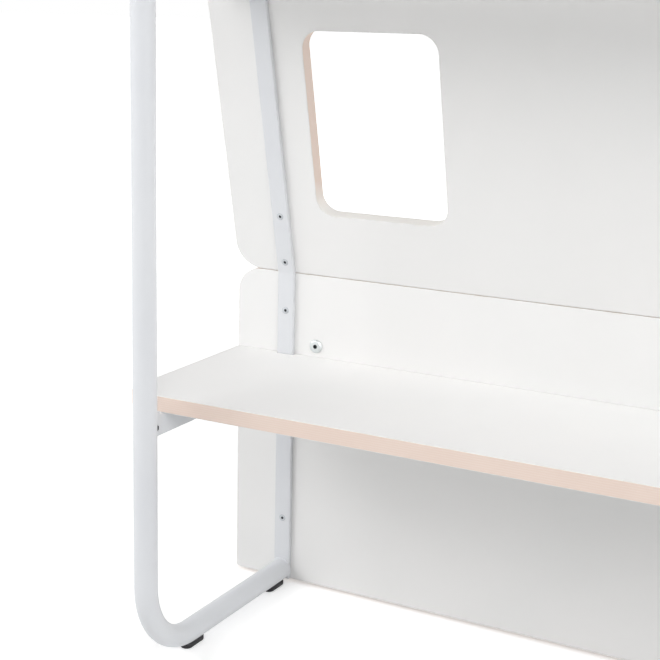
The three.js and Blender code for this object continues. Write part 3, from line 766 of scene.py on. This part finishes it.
# %% [markdown]
# ## The side tubes
#
# One length of tube is bent twice. It runs forward along the floor from the strap, turns
# up, and at the top turns back to the leaning strap, where it is cut at that angle. The
# sweep is a circle carried along a centre line of straights and arcs. In a plane bend the
# circle needs no twist: it is spanned by the x axis and by the line's own normal.

# %% Side tubes
bend_radius, top_run = 97.0, 20.0
TUBE_SIDES, BEND_STEPS = 56, 24


def strap_face_at(height):
    """y of the leaning strap's front face at a height."""
    rise = (height - joint_height) * math.tan(lean)
    return panel_front - rise - strap_depth / math.cos(lean)


def side_tube(x):
    """Rings c(s) + r (cos t n(s) + sin t X), with n to the inside of the bends."""
    normal = np.concatenate([[[0, -1]], arc((0, 0), 1, -90, -180, BEND_STEPS),
                             arc((0, 0), 1, 180, 90, BEND_STEPS), [[0, 1]]])
    low_hub = [bend_radius, low_line + bend_radius]
    high_hub = [bend_radius, high_line - bend_radius]
    hubs = np.concatenate([[[frame_depth - seat, low_hub[1]]],
                           np.tile(low_hub, (BEND_STEPS + 1, 1)),
                           np.tile(high_hub, (BEND_STEPS + 1, 1)),
                           [[bend_radius + top_run, high_hub[1]]]])
    line = np.insert(hubs + bend_radius * normal, 0, x, axis=1)
    radius = np.full((len(line), TUBE_SIDES), tube_radius)
    rings = line[:, None] + spun(radius, np.insert(normal, 0, 0.0, axis=1), X)
    rings[-1, :, 1] = strap_face_at(rings[-1, :, 2]) - seat
    return loft(rings)


for word, _, x in FRAMES:
    add_piece(f"bent_tube_{word}", side_tube(x), *STEEL, f"side_tube_{word}")

# %% [markdown]
# ## The straps
#
# A strap is flat bar with rounded corners, bent once where the boards meet. It is made flat
# first, as a slab with countersunk holes, and then bent: every point keeps its distance
# from the bar's rear face while its length runs round an arc. So the holes are real, and
# the screws sit in them. To bend cleanly a bar needs several rings across its bend.

# %% Bending a flat bar
STRAP_EASE = 0.9
strap_bend = 24.0
bend_start = joint_height - (seat + strap_bend) * math.tan(lean / 2)
hole_radius = 2.7
hole_rim = np.array([[2.7, 0.0, 0.0], [2.5, 0.3, 0.6], [0.0, 2.8, 0.0],
                     [0.0, flat_thickness, 0.0]])
bore_rim = np.array([[0.0, 0.0, 0.0], [0.0, flat_thickness, 0.0]])


def bent(body, start, outer, full):
    """Across, out and along for a flat bar that bends by a full angle from a start.

    The angle a is the length past the start over the outer radius, and r the radius at a
    point's depth. Then out = r cos a - past sin full and along = r sin a + past cos full,
    where past is the length after the bend, and what lies before it runs straight."""
    across, length, depth = body["points"].T
    radius = outer - flat_thickness + depth
    angle = np.clip((length - start) / outer, 0, full)
    past = np.maximum(length - start - outer * full, 0)
    before = np.minimum(length - start, 0)
    return (across, radius * np.cos(angle) - past * math.sin(full),
            radius * np.sin(angle) + past * math.cos(full) + before)


def strap_length_of(rise):
    """Length along the bar's rear face to a place that is a rise above the joint."""
    return bend_start + strap_bend * lean + rise - (joint_height - bend_start)


# %% [markdown]
# The bar itself is a stack of rings along its length. Where a screw goes through, the
# stack has one station on either side, and the two wide faces between them are left out.
# A plate with a round hole takes their place, and the hole's own rings join front to back.

# %% Flat bar with countersunk holes
FACE_MARGIN, GRIP = 1.5, 9.0
FRONT_FACE, REAR_FACE = 4, 14


def bar_section(width):
    """Outline of the bar's section as width and depth, and its edge numbers."""
    half, inner = width / 2, width / 2 - STRAP_EASE - FACE_MARGIN
    corners = np.split(rounded(-half, 0, half, flat_thickness, (STRAP_EASE,) * 4, 3), 4)
    front = [[-inner, 0.0], [inner, 0.0]]
    back = [[inner, flat_thickness], [-inner, flat_thickness]]
    worn = [0.6, 1.0, 1.0, 0.6]
    return (np.concatenate([corners[0], front, corners[1], corners[2], back, corners[3]]),
            np.array((worn + [0, 0] + worn) * 2))


def flat_bar(length, bends, holes, width):
    """A flat bar as across, length and depth, with holes at lengths along its middle.

    Stations are its ends, the lengths listed in bends, and a grip on either side of each
    hole. Rings are the section, drawn in by the ease at the two ends."""
    outline, worn = bar_section(width)
    inner = sorted([*bends, *[h - GRIP for h in holes], *[h + GRIP for h in holes]])
    stations = np.array([0.0, STRAP_EASE, *inner, length - STRAP_EASE, length])
    insets = np.zeros(len(stations))
    insets[[0, -1]] = STRAP_EASE
    rings = np.array([np.insert(outline - inset * outward(outline), 1, station, axis=1)
                      for inset, station in zip(insets, stations)])
    count, sides = rings.shape[:2]
    keep = np.ones((count - 1, sides), bool)
    points = [rings.reshape(-1, 3)]
    faces = [np.arange(sides)[::-1][None], ((count - 1) * sides + np.arange(sides))[None]]
    edges = [np.tile(worn, count)]
    start = count * sides
    for hole in holes:
        k = int(np.argmin(np.abs(stations - (hole - GRIP))))
        keep[k, [FRONT_FACE, REAR_FACE]] = False
        wall = rim_rings(circle((0, hole), hole_radius)[::-1], hole_rim)
        rows, turns = wall.shape[:2]
        points.append(wall.reshape(-1, 3))
        edges.append(np.zeros(rows * turns))
        faces.append(ring_quads(rows, turns, start))
        for face, ring, flip in ((FRONT_FACE, 0, False), (REAR_FACE, rows - 1, True)):
            corner = [k * sides + face, k * sides + face + 1,
                      (k + 1) * sides + face + 1, (k + 1) * sides + face]
            index = np.concatenate([corner, start + ring * turns + np.arange(turns)])
            loops = [points[0][corner][:, :2], wall[ring, :, :2]]
            faces.append(index[cap_triangles(loops, flip)])
        start += rows * turns
    quads = ring_quads(count, sides).reshape(count - 1, sides, 4)[..., ::-1]
    faces.insert(0, quads[keep])
    return as_body(points, faces, edges)


# %% [markdown]
# Each screw's place is read from its CAD node: the mean of the points that lie furthest
# back along its axis is the middle of its head. So no place is written twice.

# %% Places of the screws and bolts, and the straps
HEAD_DEPTH = 0.01
STRAP_BENDS = 7


def head_of(node, axis):
    """Middle of a fastener's head, in drawing millimetres."""
    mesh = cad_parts[node].data
    points = np.empty(len(mesh.vertices) * 3)
    mesh.vertices.foreach_get("co", points)
    points = points.reshape(-1, 3) / MM - shift
    along = points @ axis
    return points[along < along.min() + HEAD_DEPTH].mean(axis=0)


def node_words(start):
    """Names of the CAD nodes that start with some words."""
    return sorted(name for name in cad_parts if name.startswith(start))


def leans(node):
    """Whether a screw goes through the leaning part of the strap."""
    return node.endswith(("above_joint", "window", "shelf", "top", "upper"))


def length_at(node):
    """Length along the strap at which a screw's head sits."""
    if leans(node):
        rise = (head_of(node, LEANING_BACK) - joint) @ LEANING_UP
        return strap_length_of(float(rise))
    return head_of(node, Y)[2]


base = strap_low[2]
strap_length = strap_length_of(board_top) - base
bends = bend_start - base + np.linspace(0, strap_bend * lean, STRAP_BENDS)
for word, _, x in FRAMES:
    screws = node_words(f"strap_screw_{word}") + node_words(f"bearer_foot_screw_{word}")
    body = flat_bar(strap_length, bends, sorted(length_at(node) - base for node in screws),
                    flat_width)
    across, out, along = bent(body, bend_start - base, strap_bend, lean)
    body["points"] = np.stack([across + x, panel_front - seat - strap_bend + out,
                               bend_start + along], axis=1)
    add_piece(f"flat_strap_{word}", body, *STEEL, f"back_strap_{word}")
print("strap length:", round(strap_length), "mm, holes:", len(screws))

# %% [markdown]
# ## Lugs and bearers
#
# A deck lies on flat bars set on edge beside the side frames. In front a short lug, welded
# to the tube's outer flank, carries the bar with one bolt. At the back the bar is bent
# round onto the strap, and one screw clamps both to the board. A tab on the bar's inner
# face takes a screw up into the deck. The bars are the same flat bar, bent on its flat.

# %% Lugs and bearers
lug_inner, lug_outer, lug_front = 13.0, 19.0, 2.0
lug_corner, lug_root, bolt_bore = 3.0, 0.8, 3.3
bar_inner, bar_outer = lug_outer + seat, lug_outer + seat + flat_thickness
bar_start, bar_bend = 25.0, 10.0
tab_width, tab_thickness, tab_reach, tab_weld = 26.0, 4.0, 26.0, 1.0
foot_end = flat_width / 2 - 1.0
BEARER_BENDS = 9


def lug(side, low, high, bolt_at):
    """A plate across x with round free corners and a bolt hole."""
    outline = rounded(lug_front, low[2], high[1], high[2],
                      (lug_root, lug_corner, lug_corner, lug_root), 5)
    body = slab(outline, eased(flat_thickness, 0.5, 2, 0.8),
                [(circle(bolt_at, bolt_bore), bore_rim)])
    return moved(body, [Y, Z, -X], (-lug_inner if side < 0 else lug_outer, 0, 0))


def bearer_bar(side, low, high, back, slope):
    """Flat bar that runs back beside the frame and turns in behind it.

    An upper bar is sheared, y - slope (z - low), so that its foot lies on the leaning
    strap."""
    straight = back - bar_bend - bar_start
    around = bar_bend * math.pi / 2
    hub = bar_outer - bar_bend
    body = flat_bar(straight + around + hub + foot_end,
                    straight + np.linspace(0, around, BEARER_BENDS),
                    [straight + around + hub], high - low)
    across, out, along = bent(body, straight, bar_bend, math.pi / 2)
    z = (low + high) / 2 + across
    y = back - bar_bend + along - slope * (z - low)
    body["points"] = np.stack([side * (hub + out), y, z], axis=1)
    return body


def bearer_tab(side, middle, high):
    """A small plate under the deck with a countersunk hole from below."""
    ends = sorted((side * (bar_inner + tab_weld), side * (bar_inner - tab_reach)))
    outline = rounded(ends[0], -middle - tab_width / 2, ends[1], -middle + tab_width / 2,
                      (2.0,) * 4, 4)
    rim = hole_rim.copy()
    rim[-1, 1] = tab_thickness
    hole = circle((side * (bar_inner - tab_reach / 2), -middle), hole_radius)
    body = slab(outline, eased(tab_thickness, 0.4, 2, 0.6), [(hole, rim)])
    return moved(body, [X, -Y, Z], (0, 0, high - tab_thickness))


for word, side, x in FRAMES:
    for level, slope in DECKS:
        tail, high = f"{word}_{level}", box_of(f"{level}_deck")[0][2] - seat
        bolt_at = head_of(f"bearer_bolt_{tail}", side * X)[1:]
        plate = lug(side, *box_of(f"bearer_lug_{tail}"), bolt_at)
        add_piece(f"lug_{tail}", moved(plate, origin=(x, 0, 0)), *STEEL,
                  f"bearer_lug_{tail}")
        bar_low, bar_high = box_of(f"bearer_{tail}")
        bar = bearer_bar(side, bar_low[2], high, bar_high[1], slope)
        tab = bearer_tab(side, head_of(f"tab_screw_{tail}", Z)[1], high)
        add_piece(f"bearer_bar_{tail}", moved(joined(bar, tab), origin=(x, 0, 0)), *STEEL,
                  f"bearer_{tail}")

# %% [markdown]
# ## The rail behind the boards
#
# A last flat bar lies behind the lower board and spreads the pull of the connector bolts,
# where the bed's own frame would be hooked on. It is a plain slab with round ends.

# %% Rear rail
rail_corner, connector_bore = 3.0, 4.7
rail_low, rail_high = box_of("rear_rail")
rail_line = (rail_low[2] + rail_high[2]) / 2
holes = [(circle((head_of(node, Y)[0], rail_line), connector_bore), bore_rim)
         for node in node_words("connector_bolt")]
outline = rounded(rail_low[0], rail_low[2], rail_high[0], rail_high[2],
                  (rail_corner,) * 4, 5)
add_piece("flat_rail", moved(slab(outline, eased(flat_thickness, STRAP_EASE), holes),
                             UPRIGHT, (0, rail_low[1], 0)), *STEEL, "rear_rail")

# %% [markdown]
# ## Screws, bolts and nuts
#
# All of these are turned: a profile of radius against length, carried round an axis. A
# hexagon or six-lobed socket is the same thing with a radius that changes with the angle,
# so one function makes them all. A row of a profile is a radius, a place along the axis,
# from the seat at zero, and how much of the socket's shape the ring takes.

# %% Profiles of the fasteners
LEANING_SCREW, LEANING_FOOT_SCREW = 20.3, 26.6
DECK_SCREW, TAB_SCREW, CONNECTOR_SHANK = 55.0, 17.3, 20.0
BUTTON_HEAD, CONNECTOR_HEAD, FLANGE = 3.2, 3.0, 2.0
NUT_WIDTH, NUT_CHAMFER = 10.0, 0.7

# Countersunk head, from the bottom of its socket
SCREW = [(2.15, 1.9, 1), (2.25, 0.25, 1), (2.4, 0.1, 1), (4.55, 0.1, 0), (4.85, 0.22, 0),
         (4.9, 0.42, 0), (2.4, 2.8, 0)]
# Low round head with a hexagon socket
BUTTON = [(4.0, -0.3, 1), (4.0, -3.0, 1), (4.2, -3.2, 1), (4.35, -3.2, 0), (4.7, -2.75, 0),
          (5.15, -2.0, 0), (5.4, -1.1, 0), (5.5, -0.5, 0), (5.4, 0.0, 0), (3.0, 0.0, 0)]
# Flat head with a wide bevel and a hexagon socket
CONNECTOR = [(3.2, -0.6, 1), (3.2, -2.8, 1), (3.4, -3.0, 1), (7.5, -3.0, 0),
             (8.0, -2.85, 0), (9.35, -1.15, 0), (9.5, -0.9, 0), (9.5, -0.15, 0),
             (9.35, 0.0, 0), (3.0, 0.0, 0)]
# Sleeve nut, from its bore's floor round its mouth, and back up to a socketed flange
SLEEVE = [(3.3, 0.4, 0), (3.3, 16.0, 0), (4.4, 16.0, 0), (4.4, 0.0, 0), (6.7, 0.0, 0),
          (7.0, -0.4, 0), (7.0, -1.5, 0), (6.4, -2.0, 0), (2.4, -2.0, 1), (2.3, -0.6, 1)]


def hexagon(angle):
    """Radius of a hexagon whose corners are at 1: cos 30 / cos((a mod 60) - 30)."""
    sixth = math.pi / 3
    return math.cos(sixth / 2) / np.cos(np.mod(angle, sixth) - sixth / 2)


def lobes(angle):
    """Radius of a six-lobed socket: 0.86 + 0.14 cos 6a."""
    return 0.86 + 0.14 * np.cos(6 * angle)


def shanked(head, length, taper=0.6, tip=2.5):
    """A head with a shank as thick as its last row, and a tapered tip."""
    return [*head, (head[-1][0], length - taper, 0), (tip, length, 0)]


def nut(height):
    """Hexagon nut with turned-off corners, and a shallow recess where its thread is."""
    corner = NUT_WIDTH / 2 / math.cos(math.pi / 6)
    half = [(3.0, 0.8, 0), (3.3, 0.0, 0), (corner * 0.86, 0.0, 0.6), (corner, NUT_CHAMFER, 1)]
    return half + [(radius, height - along, share) for radius, along, share in half[::-1]]


# %% [markdown]
# Each fastener takes its place, and mostly its length, from its CAD node. Along a leaning
# axis a box doesn't show the length, so there it is a named value.

# %% Turned fasteners


def turned(profile, centre, axis, shape, sunk, sides=48):
    """Rings centre + along a + r(t) (cos t u + sin t v), r(t) = r (1 + share (shape - 1)).

    The profile's rows are radius, distance along the axis and share of the shape. The
    first rows, as many as are sunk, lie in the socket and carry the number 1."""
    u = np.cross(axis, Y if abs(axis[0]) > 0.9 else X)
    u /= np.linalg.norm(u)
    rows = np.array(profile, float)
    angle = np.linspace(0, 2 * math.pi, sides, endpoint=False)
    radius = rows[:, :1] * (1 + rows[:, 2:3] * (shape(angle)[None] - 1))
    rings = centre + rows[:, 1][:, None, None] * axis + spun(radius, u, np.cross(axis, u))
    # The socket rows carry the number 1, which the plated finishes turn into painted shade.
    return loft(rings, (np.arange(len(rows)) < sunk).astype(float))


def fasten(kind, node, profile, seat_at, axis, shape=hexagon, sunk=2, kit=ZINC):
    """Puts a turned fastener in the place of its CAD node."""
    add_piece(f"{kind}_{node}", turned(profile, seat_at, axis, shape, sunk), *kit, node)


def screw(node, length, axis):
    """A countersunk screw whose head lies where its CAD node's does."""
    profile = shanked(SCREW, length, 3.0, 0.3)
    fasten("head", node, profile, head_of(node, axis), axis, lobes)


for node in node_words("strap_screw") + node_words("bearer_foot_screw"):
    if leans(node):
        screw(node, LEANING_SCREW if "strap" in node else LEANING_FOOT_SCREW, LEANING_BACK)
    else:
        screw(node, np.ptp(box_of(node), axis=0)[1], Y)
for node in node_words("deck_screw"):
    screw(node, DECK_SCREW, -LEANING_BACK if "upper" in node else -Y)
for node in node_words("tab_screw"):
    screw(node, TAB_SCREW, Z)
for node in node_words("bearer_bolt") + node_words("bearer_nut"):
    axis = -X if "left" in node else X
    width = np.ptp(box_of(node), axis=0)[0]
    if "bolt" in node:
        fasten("button", node, shanked(BUTTON, width - BUTTON_HEAD),
               head_of(node, axis) + BUTTON_HEAD * axis, axis)
    else:
        fasten("hex", node, nut(width), head_of(node, axis), axis, sunk=1)
for node in node_words("connector_bolt"):
    fasten("flat", node, shanked(CONNECTOR, CONNECTOR_SHANK),
           head_of(node, Y) + CONNECTOR_HEAD * Y, Y, kit=NICKEL)
for node in node_words("connector_nut"):
    low, high = box_of(node)
    seat_at = np.array([(low[0] + high[0]) / 2, high[1] - FLANGE, (low[2] + high[2]) / 2])
    fasten("flanged", node, SLEEVE, seat_at, -Y, sunk=1)

# %% [markdown]
# ## Glides
#
# Under each floor run sit two black pads with round ends, hollowed to the tube. The pad is
# a stack of rings of one stadium outline: they grow out from the foot, climb the side, and
# close again over the top, where each point's height follows the tube's own circle.

# %% Glides
foot_ease, spine_half = 2.0, 0.4


def glide(x, y, width, length):
    """Stadium rings spine + r n, with the top at h = line - sqrt((R + gap)^2 - x^2)."""
    radius = width / 2
    spine = length / 2 - radius
    outline = np.concatenate([arc((0, spine), radius, 0, 180, 16),
                              arc((0, -spine), radius, 180, 360, 16)])
    closed = radius - spine_half
    normal = outward(outline)
    ease = np.radians(np.linspace(0, 90, 5))
    foot = foot_ease * (1 - np.stack([np.sin(ease), np.cos(ease)], axis=1))
    rings = [np.insert(outline - inset * normal, 2, rise, axis=1)
             for inset, rise in [(closed, 0.0), *foot]]
    for inset, drop in ((0.0, 0.9), (0.3, 0.25), (0.9, 0.0), (3.0, 0.0), (6.0, 0.0),
                        (closed, 0.0)):
        flat = outline - inset * normal
        saddle = low_line - np.sqrt((tube_radius + seat) ** 2 - flat[:, 0] ** 2)
        rings.append(np.column_stack([flat, saddle - drop]))
    edges = np.array([0, 0.6, 1, 1, 0.6, 0, 0.4, 1, 0.6, 0, 0, 0])
    return moved(loft(np.array(rings), edges), origin=(x, y, 0))


for node in node_words("glide_"):
    low, high = box_of(node)
    add_piece(f"pad_{node}", glide(*(low + high)[:2] / 2, *(high - low)[:2]), *BLACK, node)

# %% [markdown]
# ## Welds
#
# Paint softens a weld but doesn't hide it: it leaves a low, slightly rippled bead where the
# tube meets the strap and where a lug meets the tube. A bead is a small circle carried
# along a path, with a radius that ripples and runs out at both ends.

# %% Weld beads
BEAD, LUG_BEAD, RIPPLE, BEAD_SIDES = 1.7, 1.4, 1.5, 10
PATH_POINTS, LUG_POINTS = 90, 40
bead_proud, lug_sink, lug_proud, lug_end = 0.6, 0.2, 0.4, 1.0


def bead(path, radius=BEAD):
    """Rings p(s) + r(s) (cos t u + sin t v), r = R (1 + 0.07 cos(2 pi s / ripple)) end(s)."""
    step = np.gradient(path, axis=0)
    step /= np.linalg.norm(step, axis=1, keepdims=True)
    u = np.cross(step, Y)
    u /= np.linalg.norm(u, axis=1, keepdims=True)
    travel = np.concatenate([[0], np.cumsum(np.linalg.norm(np.diff(path, axis=0), axis=1))])
    runout = np.clip(np.minimum(travel, travel[-1] - travel) / radius, 0.02, 1) ** 0.5
    size = radius * (1 + 0.07 * np.cos(2 * math.pi * travel / RIPPLE)) * runout
    size = np.repeat(size[:, None], BEAD_SIDES, axis=1)
    return loft(path[:, None] + spun(size, u, np.cross(step, u)))


def around_tube(x, y, z, start, stop):
    """Path round a tube that runs along y: (x + R sin a, y, z + R cos a)."""
    angle = np.radians(np.linspace(start, stop, PATH_POINTS))
    return np.stack([x + tube_radius * np.sin(angle), np.full(PATH_POINTS, y),
                     z + tube_radius * np.cos(angle)], axis=1)


for word, side, x in FRAMES:
    under = around_tube(x, frame_depth - bead_proud, low_line, -56, 56)
    over = around_tube(x, 0.0, high_line, -124, -236)
    over[:, 1] = strap_face_at(over[:, 2]) - bead_proud
    beads = [bead(under), bead(over)]
    for level in ("lower", "upper"):
        low, high = box_of(f"bearer_lug_{word}_{level}")
        flank = math.sqrt(tube_radius ** 2 - lug_inner ** 2) + lug_proud
        root = x + side * (lug_inner - lug_sink), flank
        path = np.linspace((*root, low[2] + lug_end), (*root, high[2] - lug_end), LUG_POINTS)
        beads.append(bead(path, LUG_BEAD))
    add_piece(f"welds_{word}", joined(*beads), *STEEL, sharp=60.0)

# %% [markdown]
# ## Totals
#
# The script ends by printing how many pieces and triangles it made.

# %% Totals
print("pieces:", total["pieces"], "triangles:", total["triangles"])
